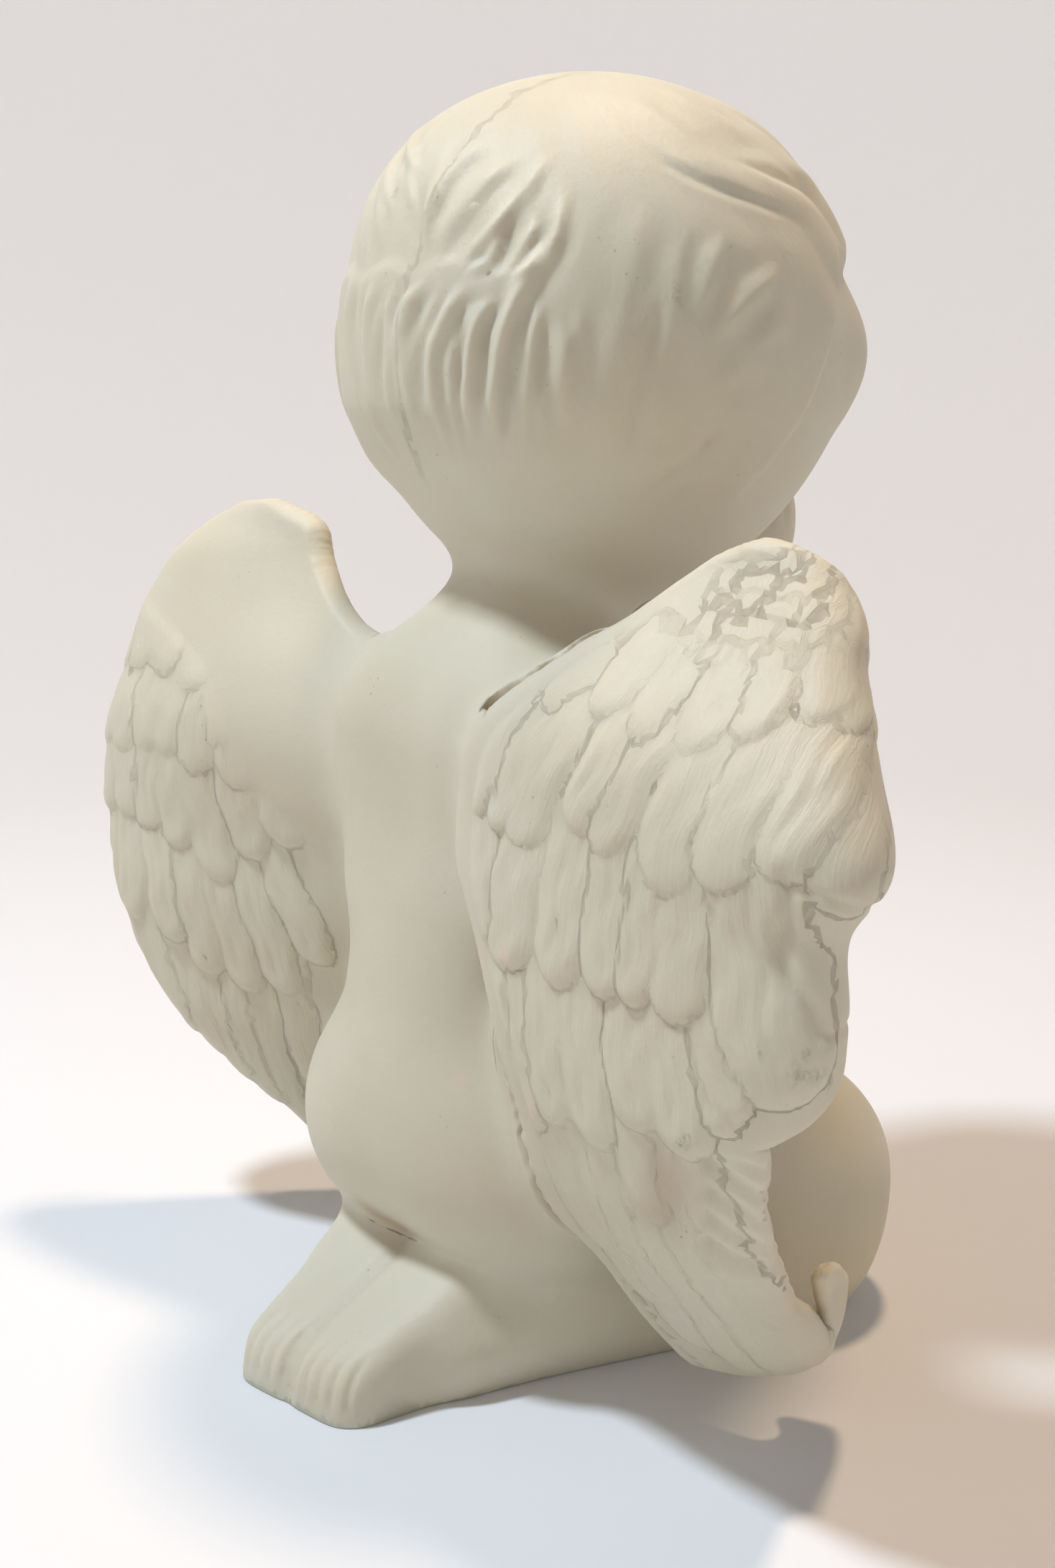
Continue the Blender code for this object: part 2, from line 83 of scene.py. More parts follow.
# feathers of one row: (tip arc, tip z, root arc, root z, width) on the outside of the wing, arc from its inner edge
rightFeathers = [
    ("down", 0.75, [(41.7, 138.4, 24.1, 149.2, 6.7), (48.0, 136.0, 30.0, 148.5, 7.5)]),
    ("small", 1.0, [(42.5, 122.4, 27.4, 135.8, 9.5), (48.6, 125.0, 33.0, 136.3, 7.6), (52.7, 128.8, 37.0, 139.3, 7.5),
                    (18.7, 125.3, 10.9, 135.2, 9.0), (31.4, 122.8, 20.1, 134.7, 8.7), (59.7, 127.9, 39.7, 139.2, 7.9),
                    (8.3, 124.6, 5.6, 133.0, 7.6), (68.0, 126.0, 52.0, 138.0, 8.5)]),
    ("long", 1.5, [(3.9, 108.0, 3.2, 125.8, 7.4), (10.2, 106.3, 6.7, 126.9, 7.4), (15.1, 105.2, 12.5, 127.2, 11.2),
                   (28.5, 109.4, 25.1, 126.7, 9.2), (34.7, 107.1, 32.0, 125.9, 9.4), (47.3, 103.8, 43.7, 124.3, 11.4),
                   (57.2, 105.8, 51.8, 124.3, 11.9), (66.5, 108.5, 58.0, 127.8, 10.5)]),
    ("band", 0.25, [(75.0, 105.5, 61.0, 132.0, 12.0), (85.0, 105.5, 72.0, 134.0, 12.0), (95.0, 106.0, 84.0, 132.0, 11.0)]),
    ("leaf", 1.6, [(2.6, 87.6, 6.7, 107.7, 8.0), (7.9, 84.1, 15.7, 107.2, 12.2), (21.0, 84.5, 28.6, 107.9, 12.0),
                   (32.1, 85.5, 36.4, 107.5, 10.8), (39.2, 85.9, 43.5, 107.1, 9.0), (46.4, 85.2, 51.4, 105.9, 11.3),
                   (60.3, 76.1, 60.4, 110.8, 15.6), (53.7, 73.2, 51.6, 89.4, 7.4)]),
    ("quill", 1.35, [(0.9, 69.5, 5.5, 86.4, 7.2), (3.4, 57.2, 9.3, 85.1, 9.8), (9.9, 60.5, 16.7, 84.5, 11.0),
                     (20.9, 60.0, 25.6, 85.5, 11.6), (32.0, 66.2, 37.6, 86.6, 11.3), (41.9, 64.6, 45.9, 86.6, 11.3),
                     (50.1, 70.2, 52.0, 87.6, 8.8)]),
    ("fan", 0.8, [(28.9, 49.8, 29.6, 68.2, 8.8), (8.4, 38.8, 5.5, 60.9, 8.5), (8.6, 29.0, 12.4, 60.0, 8.8),
                  (10.6, 20.3, 19.9, 60.7, 9.3), (15.7, 16.5, 26.7, 60.7, 9.0), (21.7, 15.2, 33.6, 60.0, 8.7),
                  (28.0, 15.5, 40.8, 62.9, 8.4)]),
]
leftFeathers = [
    ("down", 0.7, [(65.2, 119.0, 52.4, 136.9, 11.1), (56.0, 118.0, 44.0, 135.0, 11.0), (46.8, 115.9, 38.0, 132.0, 11.8),
                   (32.7, 114.5, 28.9, 128.6, 11.4), (49.7, 128.5, 34.3, 141.2, 10.6), (74.0, 118.0, 62.0, 136.0, 11.0)]),
    ("small", 1.0, [(75.9, 102.2, 76.9, 114.5, 10.4), (68.0, 101.8, 69.0, 114.5, 10.4), (60.1, 103.2, 61.8, 116.6, 10.3),
                    (53.0, 103.1, 54.6, 117.7, 9.8), (45.9, 99.9, 45.4, 115.6, 11.2), (35.5, 98.6, 32.5, 116.0, 11.8),
                    (20.0, 96.8, 19.2, 111.8, 11.6), (38.0, 106.1, 40.1, 118.8, 10.4), (27.0, 100.5, 26.0, 115.0, 11.0)]),
    ("long", 1.3, [(77.0, 88.0, 76.5, 102.0, 10.2), (69.1, 88.0, 68.0, 102.6, 10.7), (64.2, 86.0, 60.4, 103.9, 9.9),
                   (54.7, 83.3, 54.2, 100.6, 10.7), (44.3, 77.8, 46.8, 100.6, 10.9), (35.6, 83.7, 35.6, 100.1, 10.5),
                   (27.0, 88.1, 23.9, 100.5, 10.8), (17.5, 88.9, 13.1, 101.8, 10.0)]),
    ("quill", 1.3, [(76.0, 66.0, 78.0, 88.0, 9.5), (67.1, 66.2, 70.6, 88.3, 9.3), (55.0, 62.9, 62.2, 86.5, 9.3),
                    (44.4, 57.0, 54.9, 82.1, 9.3), (34.9, 54.3, 46.7, 79.1, 9.0), (26.4, 55.3, 38.7, 82.0, 9.0),
                    (18.8, 63.5, 31.3, 84.2, 9.0)]),
    ("fan", 0.9, [(58.0, 46.0, 74.0, 68.0, 9.5), (49.3, 42.3, 66.1, 67.2, 9.2), (40.4, 38.2, 56.9, 63.9, 8.8),
                  (32.2, 31.8, 49.0, 62.6, 8.4), (25.1, 25.8, 41.1, 58.7, 8.0), (19.0, 21.4, 34.2, 56.7, 8.0),
                  (14.3, 30.5, 26.4, 58.2, 7.5)]),
]
# smudges and blushes on the fired surface, and patches of painted shade: place, radius, strength
marks = dict(
    smudge=[((-93.1, 35.6, 81.4), 0.7, 0.9), ((-94.3, 34.6, 81.9), 0.6, 0.7), ((-95.0, 32.5, 82.0), 0.9, 0.8),
            ((-95.0, 30.6, 82.0), 0.6, 0.9), ((-94.5, 28.5, 79.6), 0.7, 0.7), ((-88.9, 38.1, 84.6), 0.5, 0.8),
            ((-94.4, 34.2, 85.2), 0.5, 0.7), ((-75.8, 39.4, 67.3), 0.9, 0.6), ((-76.9, 39.5, 68.5), 0.7, 0.6),
            ((-61.2, 34.7, 49.3), 0.7, 0.6), ((-75.0, 34.1, 50.3), 0.6, 0.6), ((8.2, 15.8, 217.3), 0.8, 0.45),
            ((8.2, 16.6, 216.0), 0.6, 0.35), ((8.7, 22.5, 209.6), 0.7, 0.45), ((8.9, 23.3, 208.2), 0.6, 0.3),
            ((-40.6, 5.4, 191.3), 0.9, 0.5), ((-40.0, 7.2, 190.6), 0.6, 0.3)],
    # painted shade: darkens the recessed vane panel beside the break and the crease where the seat meets the feet
    shadePatch=[((-71.0, 38.0, 61.0), 5.0, 0.5), ((-70.0, 37.0, 56.0), 5.0, 0.5), ((-67.0, 36.0, 51.0), 4.5, 0.5),
           ((3.0, 33.0, 24.5), 3.5, 0.9), ((-1.5, 32.5, 23.5), 3.0, 0.5), ((7.5, 33.5, 26.0), 3.0, 0.7)],
    blush=[((-36.0, 39.2, 87.1), 2.0, 0.6), ((-47.0, 40.1, 86.3), 2.0, 0.45), ((-40.0, 36.6, 61.7), 2.4, 0.5),
           ((-27.9, 36.7, 84.7), 1.6, 0.7), ((-18.4, 33.4, 59.7), 1.6, 0.5)],
)
# hair strokes: points as (degrees round from the back towards the figure's left, degrees up), width, height
hairStrokes = dict(
    crest=[
        ((-32, 40), (-25, 26), (-19, 19), (-13, 13), 1.9, 1.00),
        ((-37, 33), (-35, 20), (-29, 10), (-26, 1), (-24, -9), 1.9, 1.20),
        ((-31, 25), (-29, 18), (-25, 12), 1.2, 0.80),
        ((-25, 22), (-21, 15), (-17, 13), 1.2, 0.80),
        ((-33, 20), (-30, 14), (-26, 11), 1.2, 0.80),
        ((-24, 39), (-16, 31), (-10, 22), (-9, 13), 2.8, 0.70),
        ((3, 49), (0, 36), (-4, 25), (-8, 13), 2.1, 0.60),
        ((29, 51), (22, 43), (2, 33), 1.3, 0.70),
        ((31, 43), (17, 29), (8, 15), 2.3, 0.70),
        ((32, 37), (24, 25), (17, 14), 2.0, 0.60),
        ((-13, 45), (-8, 38), (-5, 28), (-2, 13), 2.3, 0.50),
    ],
    lower=[
        ((21, 15), (20, 6), (15, -10), (7, -22), 2.1, 0.90),
        ((8, 13), (10, 6), (10, -8), (6, -21), 2.1, 0.90),
        ((0, 12), (3, 5), (3, -8), (1, -21), 1.9, 0.80),
        ((-9, 13), (-4, 8), (-2, 1), (-3, -10), (-5, -22), 2.1, 1.10),
        ((-19, 12), (-14, 6), (-10, -2), (-10, -10), (-11, -23), 2.0, 1.00),
        ((-25, 9), (-21, 5), (-19, -2), (-18, -10), (-17, -21), 1.7, 1.10),
        ((-29, 10), (-26, 1), (-24, -9), (-22, -18), 1.7, 1.10),
        ((-33, 10), (-32, 1), (-31, -9), (-29, -18), 1.8, 1.00),
        ((-37, 6), (-37, -4), (-36, -14), 1.7, 1.00),
        ((-41, 8), (-40, -4), (-39, -15), 2.3, 0.60),
    ],
    groove=[
        ((-28, 33), (-25, 23), (-24, 12), 1.6, -0.70),
        ((-35, 25), (-33, 18), (-30, 12), 1.4, -0.60),
        ((-17, 8), (-17, -2), (-16, -12), 1.5, -0.70),
        ((-22, 5), (-22, -4), (-20, -14), 1.4, -0.70),
        ((-34, 6), (-34, -2), (-33, -12), 1.2, -0.70),
        ((-8, 5), (-7, -4), (-6, -15), 1.4, -0.60),
        ((4, 10), (5, -1), (6, -16), 1.4, -0.50),
        ((-28, -2), (-27, -10), (-25, -17), 1.2, -0.60),
        ((-14, 11), (-11, 5), (-6, -4), 1.2, -0.30),
    ],
    flap=[
        ((-54, 45), (-60, 38), (-68, 34), (-81, 31), (-93, 29), (-106, 24), 1.3, -0.40),
        ((-58, 49), (-65, 41), (-75, 37), (-88, 35), (-103, 32), (-116, 27), 4.2, 0.55),
        ((-80, 41), (-95, 38), (-113, 34), 1.4, -0.40),
        ((-84, 44), (-102, 41), (-127, 38), 3.0, 0.40),
        ((-69, 68), (-83, 55), (-98, 45), 3.6, 0.30),
        ((-51, 59), (-64, 47), (-74, 41), 2.6, 0.30),
    ],
    shade=[
        ((-72, 24), (-67, 14), (-64, 4), 2.4, 0.55),
        ((-88, 18), (-75, 9), (-66, 0), 2.6, 0.60),
        ((-62, 24), (-60, 12), (-58, 2), 2.4, 0.35),
        ((-81, -3), (-69, -11), (-58, -21), 2.4, -0.45),
        ((-86, 0), (-72, -8), (-60, -17), 2.2, 0.40),
        ((-76, -11), (-64, -21), (-53, -30), 2.4, -0.45),
        ((-74, -8), (-63, -18), (-52, -26), 2.2, 0.35),
        ((-58, 12), (-54, -4), (-51, -24), 1.9, -0.50),
        ((-50, 12), (-47, -4), (-45, -22), 2.9, 0.35),
        ((-54, 30), (-51, 17), (-49, 4), 3.0, 0.30),
        ((-92, 10), (-79, 1), (-70, -8), 2.4, 0.35),
    ],
)


def smoothMin(a, b, k):
    h = np.clip(0.5 + 0.5 * (b - a) / k, 0.0, 1.0)
    return b + (a - b) * h - k * h * (1.0 - h)


def smoothMax(a, b, k):
    return -smoothMin(-a, -b, k)


def ease(x):
    x = np.clip(x, 0.0, 1.0)
    return x * x * (3.0 - 2.0 * x)


def limb(p, a, b, ra, rb):  # distance to a tapered limb with round ends
    a, b = np.array(a, float), np.array(b, float)
    axis = b - a
    t = np.clip((p - a) @ axis / (axis @ axis), 0.0, 1.0)
    return np.linalg.norm(p - a - t[:, None] * axis, axis=1) - (ra + (rb - ra) * t)


def egg(p, centre, radii):
    q = p - np.array(centre, float)
    radii = np.array(radii, float)
    k0 = np.linalg.norm(q / radii, axis=1)
    k1 = np.linalg.norm(q / radii**2, axis=1)
    return k0 * (k0 - 1.0) / np.maximum(k1, 1e-9)


def headAxes():
    bow = headForm["bow"]
    forward = np.array([0.0, -math.cos(bow), -math.sin(bow)])
    up = np.array([0.0, -math.sin(bow), math.cos(bow)])
    return np.array([1.0, 0.0, 0.0]), forward, up


def inHead(p):
    side, forward, up = headAxes()
    q = p - headForm["at"]
    return np.stack([q @ side, q @ forward, q @ up], axis=1)


def bodyMasses():  # start, end, start radius, end radius, blend
    c = casting
    masses = [
        ((0, c["hipY"], c["hipZ"]), (0, 6, c["waistZ"]), c["hipHalf"], c["waistHalf"], 6),
        ((0, 6, c["waistZ"]), (0, 4, c["chestZ"]), c["waistHalf"], c["chestHalf"], 8),
        ((0, 4, c["chestZ"] + 2), (0, -6, 150), 17, 16, 9),
    ]
    for side in (-1, 1):
        masses += [
            ((side * 13, 15, 117), (side * 14, 14, 90), 15, 13, 10),
            ((side * 20, 4, 119), (side * 6, 4, 127), 12, 12, 9),
            ((side * 13, 14, 41), (side * 14, 6, 43), 24, 24, 8),
            ((side * 17, 4, 38), (side * c["kneeX"], c["kneeY"], 25), 24, c["kneeRadius"], 8),
            ((side * (c["kneeX"] + 2), c["kneeY"], 12), (side * 13, 30, 8), 19, 11, 8),
            ((side * 28, -2, 116), (side * 27, -34, 98), 11, 9, 8),
            ((side * 27, -34, 98), (side * 8, -54, 139), 9, 6.5, 6),
        ]
    # fillets where the right wing leaves the shoulder and the hip
    return masses + [((-24, 22, 122), (-35, 15, 131), 6, 6, 8), ((-28.5, 25.5, 68), (-33, 22, 44), 5.5, 5.5, 7)]


def feetField(p):
    c = casting
    t = np.clip((p[:, 1] - c["heelY"]) / (c["toeY"] - c["heelY"]), -0.4, 1.2)
    half = c["heelHalf"] + (c["toeHalf"] - c["heelHalf"]) * t
    top = c["heelZ"] + (c["toeZ"] - c["heelZ"]) * t
    block = smoothMax(np.abs(p[:, 0]) - half, p[:, 2] - top, 6.0)
    block = smoothMax(block, p[:, 1] - c["toeY"] - 0.10 * p[:, 0], 6.0)
    block = smoothMax(block, -10.0 - p[:, 1], 6.0)
    return block + 1.3 * np.exp(-((p[:, 0] / 1.9) ** 2)) * np.clip((p[:, 2] + 2.0) / 6.0, 0.0, 1.0)


def handsField(p):
    d = None
    for side in (-1, 1):
        palm = egg(p, (side * 5.5, -59, 150), (5.5, 8.5, 12.0))
        fingers = limb(p, (side * 4.5, -60, 154), (side * 3.5, -60, 163), 5.5, 4.0)
        thumb = limb(p, (side * 6, -51, 149), (side * 4, -50, 158), 3.4, 2.6)
        for e in (palm, fingers, thumb):
            d = e if d is None else smoothMin(d, e, 2.5)
    return d


def headField(p):
    h = headForm
    q = inHead(p)
    taper = 1.0 + h["napeTaper"] * np.clip(-10.0 - q[:, 2], 0.0, 40.0)
    wide = q * np.stack([taper, taper, np.ones(len(q))], axis=1)
    d = egg(wide, (0, 0, 0), (h["halfWidth"], h["halfLength"], h["halfHeight"]))
    throat = (q[:, 1] - 42.0) * 0.57 - (q[:, 2] + 24.0) * 0.82
    d = smoothMax(d, throat, 8.0)
    for side in (-1, 1):
        d = smoothMin(d, np.linalg.norm(q - np.array([side * 24, 26.5, 1]), axis=1) - 13.5, 5)
        socket = np.linalg.norm((q - np.array([side * 14, 49, 9])) / np.array([1.0, 0.8, 0.8]), axis=1) - 7.5
        d = smoothMax(d, -socket, 4)
        d = smoothMin(d, egg(q, (side * 13.5, 38.5, 7.5), (6.0, 5.0, 4.0)), 2)
    d = smoothMin(d, np.linalg.norm(q - np.array([0, 39, -17]), axis=1) - 7.5, 6)
    d = smoothMin(d, limb(q, (0, 43, 8), (0, 48, -1), 2.2, 3.3), 3)
    for side in (-1, 1):
        d = smoothMin(d, np.linalg.norm(q - np.array([side * 2.9, 46.2, -1.6]), axis=1) - 2.0, 1.5)
    d = smoothMin(d, egg(q, (0, 44.5, -8.6), (6.0, 2.6, 1.6)), 1.6)
    return smoothMin(d, egg(q, (0, 44.2, -11.4), (4.8, 2.6, 1.6)), 1.6)


def bodyField(p):
    d = None
    for a, b, ra, rb, blend in bodyMasses():
        e = limb(p, a, b, ra, rb)
        d = e if d is None else smoothMin(d, e, blend)
    d = smoothMin(d, feetField(p), 5.0)
    d = smoothMin(d, handsField(p), 3.0)
    return smoothMin(d, headField(p), 5.0)


def eased(values, at):
    keys = np.array(wingForm["keyZ"][::-1], float)
    values = np.array(values[::-1], float)
    slopes = np.gradient(values, keys)
    at = np.clip(at, keys[0], keys[-1])
    i = np.clip(np.searchsorted(keys, at) - 1, 0, len(keys) - 2)
    gap = keys[i + 1] - keys[i]
    t = (at - keys[i]) / gap
    return (values[i] * (2 * t**3 - 3 * t**2 + 1) + slopes[i] * gap * (t**3 - 2 * t**2 + t)
            + values[i + 1] * (3 * t**2 - 2 * t**3) + slopes[i + 1] * gap * (t**3 - t**2))


def brokenAway(a, z):  # the lower outer part of the right wing that is gone, with a crumbly edge
    start = 0.468 + 0.075 * ease((58.0 - z) / 14.0)
    across = (a - start - 0.006 * np.sin(z * 0.5) - 0.003 * np.sin(z * 1.7 + 1.0)) / (1.0 - start)
    bandEnd = 69.5 + 14.0 * across
    lip = 33.0 - 11.0 * np.exp(-(((across - 0.24) / 0.13) ** 2)) + 5.0 * np.exp(-(((across - 0.5) / 0.16) ** 2))
    lip = lip - 8.0 * ease((across - 0.6) / 0.4) + 0.3 * np.sin(across * 31.0)
    return (across > 0.0) & (z > lip) & (z < bandEnd)


def wingSheet(form, side, broken):
    rows, columns = wingForm["rows"], wingForm["columns"]
    z = np.linspace(wingForm["keyZ"][0], wingForm["keyZ"][-1], rows)
    a = np.linspace(0.0, 1.0, columns)
    curve = {name: np.stack([eased([q[0] for q in form[name]], z), eased([q[1] for q in form[name]], z)], axis=1)
             for name in ("inner", "pull", "rim")}

    def bend(t):
        inner, pull, rim = (curve[name][:, None] for name in ("inner", "pull", "rim"))
        return (1 - t) ** 2 * inner + 2 * t * (1 - t) * pull + t**2 * rim

    # the top end is rounded: there a row keeps only the middle of the curve
    open_ = np.sqrt(np.clip(1.0 - np.clip((z - wingForm["roundFrom"]) / wingForm["roundBy"], 0.0, 0.995) ** 2, 0.0, 1.0))
    kept = 0.5 + (a[None, :] - 0.5) * open_[:, None]
    flat = bend(kept[:, :, None])
    points = np.empty((rows, columns, 3))
    points[..., 0] = side * flat[..., 0]
    points[..., 1] = flat[..., 1]
    points[..., 2] = z[:, None]
    half = wingForm["rootHalf"] + (wingForm["edgeHalf"] - wingForm["rootHalf"]) * np.clip(kept * 1.3, 0, 1) ** 0.8
    gone = brokenAway(a[None, :-1], z[:-1, None]) if broken else np.zeros((rows - 1, columns - 1), bool)
    i, j = np.nonzero(~gone)
    k = i * columns + j
    quads = np.stack([k, k + 1, k + columns + 1, k + columns], axis=1)
    if side < 0:
        quads = quads[:, ::-1]
    gaps = np.linalg.norm(np.diff(bend(a[None, :, None]), axis=1), axis=2)
    arc = np.concatenate([np.zeros((rows, 1)), np.cumsum(gaps, axis=1)], axis=1)
    arc = np.stack([np.interp(kept[i], a, arc[i]) for i in range(rows)]).reshape(-1)
    points = points.reshape(-1, 3)
    tree = BVHTree.FromPolygons([tuple(q) for q in points], [tuple(int(x) for x in q) for q in quads])
    return dict(tree=tree, points=points, half=half.reshape(-1), quads=quads, arc=arc, side=side, columns=columns)


def tufts(form, top, bottom, first, last):  # short down in staggered rows; first and last are millimetres out
    rng = np.random.default_rng(11)
    made = []
    for k, z in enumerate(np.arange(top, bottom, -3.3)):
        for out in np.arange(first + 1.7 * (k % 2) + 0.75 * (top - z) * 0.2, last, 3.5):
            tip = (out + rng.uniform(-0.5, 0.5), z + rng.uniform(-0.7, 0.7))
            root = (tip[0] + rng.uniform(-0.9, 0.4), tip[1] + rng.uniform(4.6, 6.2))
            inner = eased([q[0] for q in form["inner"]], np.array([tip[1], root[1]]))
            made.append((tip[0] - inner[0], tip[1], root[0] - inner[1], root[1], rng.uniform(3.4, 4.6)))
    return ("tuft", 0.32, made)


def coordinates(mesh):
    co = np.empty(len(mesh.vertices) * 3)
    mesh.vertices.foreach_get("co", co)
    return co.reshape(-1, 3)


def vertexNormals(mesh):
    n = np.empty(len(mesh.vertices) * 3)
    mesh.vertices.foreach_get("normal", n)
    return n.reshape(-1, 3)


def place(mesh, points):
    mesh.vertices.foreach_set("co", points.reshape(-1))
    mesh.update()


def applyModifiers(obj):
    graph = bpy.context.evaluated_depsgraph_get()
    mesh = bpy.data.meshes.new_from_object(obj.evaluated_get(graph))
    obj.modifiers.clear()
    old, obj.data = obj.data, mesh
    bpy.data.meshes.remove(old)


def roughFigure(sheets):  # beads along every limb, the head, the feet block and both wings as slabs
    bm = bmesh.new()

    def ball(centre, radii):
        made = bmesh.ops.create_icosphere(bm, subdivisions=3, radius=1.0)
        for v in made["verts"]:
            v.co = Vector([c + r * x for c, r, x in zip(centre, radii, v.co)])

    for a, b, ra, rb, blend in bodyMasses():
        a, b = np.array(a, float), np.array(b, float)
        for t in np.linspace(0.0, 1.0, max(2, int(np.linalg.norm(b - a) / 5.0))):
            r = ra + (rb - ra) * t
            ball(a + (b - a) * t, (r, r, r))
    ball((-19, 26, 108), (9, 9, 22))
    h, c = headForm, casting
    ball(h["at"], (h["halfWidth"], h["halfLength"], h["halfHeight"]))
    side, forward, up = headAxes()
    ball(h["at"] + 39 * forward - 17 * up, (8, 8, 8))
    ball(h["at"] + 46 * forward + 2 * up, (4, 4, 6))
    for s in (-1, 1):
        ball(h["at"] + s * 22.5 * side + 25 * forward, (15.5, 15.5, 15.5))
        ball((s * 5, -59, 152), (6, 8.5, 14))
    for y in np.linspace(0, c["toeY"] - 6, 12):
        t = (y - c["heelY"]) / (c["toeY"] - c["heelY"])
        half = c["heelHalf"] + (c["toeHalf"] - c["heelHalf"]) * t
        top = c["heelZ"] + (c["toeZ"] - c["heelZ"]) * t
        for s in (-1, 1):
            for z in (0, top - 6):
                ball((s * (half - 7), y, z), (7, 7, 7))
                ball((s * 4, y, z), (7, 7, 7))
    mesh = bpy.data.meshes.new("roughFigure")
    bm.to_mesh(mesh)
    bm.free()
    obj = bpy.data.objects.new("bisqueAngel", mesh)
    bpy.context.scene.collection.objects.link(obj)
    for sheet in sheets:
        slab = bpy.data.meshes.new("slab")
        slab.from_pydata([tuple(q) for q in sheet["points"]], [], [tuple(int(x) for x in q) for q in sheet["quads"]])
        wing = bpy.data.objects.new("slab", slab)
        bpy.context.scene.collection.objects.link(wing)
        solid = wing.modifiers.new("thickness", "SOLIDIFY")
        solid.thickness = 5.0
        solid.offset = 0.0
        applyModifiers(wing)
        bm = bmesh.new()
        bm.from_mesh(obj.data)
        bm.from_mesh(wing.data)
        bm.to_mesh(obj.data)
        bm.free()
        bpy.data.objects.remove(wing, do_unlink=True)
    return obj


def wingDistance(p, sheet, normals, reach=14.0):
    d = np.full(len(p), 60.0)
    away, spots = np.zeros((len(p), 3)), np.zeros((len(p), 3))
    front, cell = np.zeros(len(p)), np.full(len(p), -1)
    find = sheet["tree"].find_nearest
    near = np.nonzero((p[:, 0] * sheet["side"] > 8) & (p[:, 2] > 5) & (p[:, 2] < 160))[0]
    corner = sheet["quads"].min(axis=1)
    for i in near:
        spot, normal, index, distance = find(p[i], reach)
        if index is None:
            continue
        cell[i] = corner[index]
        d[i] = distance
        spots[i] = spot
        front[i] = (p[i] - spots[i]) @ np.array(normal) / max(distance, 1e-6)
    hit = cell >= 0
    away[hit] = (p[hit] - spots[hit]) / np.maximum(d[hit], 1e-6)[:, None]
    # right beside the sheet, along its edges, that direction is unsure, so the skin's own one leads
    sure = ease(d[hit] / 1.8)[:, None]
    away[hit] = away[hit] * sure + normals[hit] * (1.0 - sure)
    away[hit] /= np.maximum(np.linalg.norm(away[hit], axis=1), 1e-6)[:, None]
    d[hit] -= sheet["half"][cell[hit]]
    return d, away, spots, front, cell


def settle(mesh, sheets, rounds):
    p = coordinates(mesh)
    for _ in range(rounds):
        normals = vertexNormals(mesh)
        d = bodyField(p)
        grad = np.stack([(bodyField(p + 0.2 * axis) - d) / 0.2 for axis in np.eye(3)], axis=1)
        for sheet in sheets:
            w, away = wingDistance(p, sheet, normals)[:2]
            h = np.clip(0.5 + 0.5 * (w - d) / 9.0, 0.0, 1.0)
            d, grad = w + (d - w) * h - 9.0 * h * (1.0 - h), away + (grad - away) * h[:, None]
        length = np.maximum(np.linalg.norm(grad, axis=1), 0.35)
        move = -(d / length**2)[:, None] * grad
        far = np.linalg.norm(move, axis=1)
        p = p + move * np.minimum(1.0, 3.0 / np.maximum(far, 1e-9))[:, None]
        place(mesh, p)
    return p


def featherRelief(arc, z, rows, inner):
    slant = lambda height: eased([q[0] for q in inner], np.asarray(height, float))
    arc = arc + slant(z)
    total = np.zeros(len(z))
    across, along = arc * 0.5, z * 1.0
    rng = np.random.default_rng(4)
    for name, lift, row in rows:
        for tipArc, tipZ, rootArc, rootZ, width in row:
            tipArc, rootArc = tipArc + slant([tipZ])[0], rootArc + slant([rootZ])[0]
            shape = rng.uniform(0.88, 1.12)
            phase = rng.uniform(0.0, 6.28)
            ax, az = rootArc - tipArc, rootZ - tipZ
            length = math.hypot(ax, az)
            ax, az = ax / length, az / length
            u = (arc - tipArc) * ax + (z - tipZ) * az
            w = ((arc - tipArc) * az - (z - tipZ) * ax) + 0.35 * np.sin(u * 0.5 + phase)
            half = 0.56 * width
            cap = 0.72 * width
            end = np.clip((cap - u) / cap, 0.0, None)
            edge = (1.0 - np.sqrt((w / half) ** 2 + end**2)) * half  # distance inside the outline
            inside = edge > -0.25
            soft = 1.0 - (1.0 - np.clip(edge / (0.30 * width), 0.0, 1.0)) ** 2
            blunt = ease(1.0 - u / (0.7 * width))
            pillow = soft + (np.sqrt(soft) - soft) * blunt
            t = np.clip(u / length, 0.0, 1.4)
            body = lift * shape * (1.0 - 0.72 * t) * (1.0 - 0.24 * (w / half) ** 2)
            strands = 0.045 * lift * np.cos(w * (1.7 + 0.6 * shape) + phase + 0.5 * np.sin(u * 0.45 + phase))
            strands *= ease((u - 1.0) / 3.0)
            shaft = np.exp(-((w + 0.2 * half * np.cos(phase)) / 0.7) ** 2) * ease((u - 2.5) / 4.0)
            strands -= 0.10 * lift * shaft * (width > 8)
            strands += 0.10 * lift * np.sin(u * 0.55 + phase * 2.0) * np.cos(w * 0.8 + phase)
            height = (0.12 * blunt + pillow * (body + strands)) * ease((1.35 - t) / 0.3) * inside
            wins = height > total
            total[inside] = smoothMax(total[inside], height[inside], 0.18)
            across[wins], along[wins] = (w + phase * 3.0)[wins], u[wins]
    return 1.15 * total, across, along


def between(a, b, share=0.5):  # a thinner lock that lies between two others
    rows = []
    for stroke in (a, b):
        line = np.array(stroke[:-2], float)
        s = np.linspace(0, len(line) - 1, 5)
        rows.append([np.interp(s, np.arange(len(line)), line[:, k]) for k in (0, 1)])
    az, el = (1 - share) * np.array(rows[0]) + share * np.array(rows[1])
    return (*zip(az, el - 1.5), 0.75 * min(a[-2], b[-2]), 0.7 * min(a[-1], b[-1]))


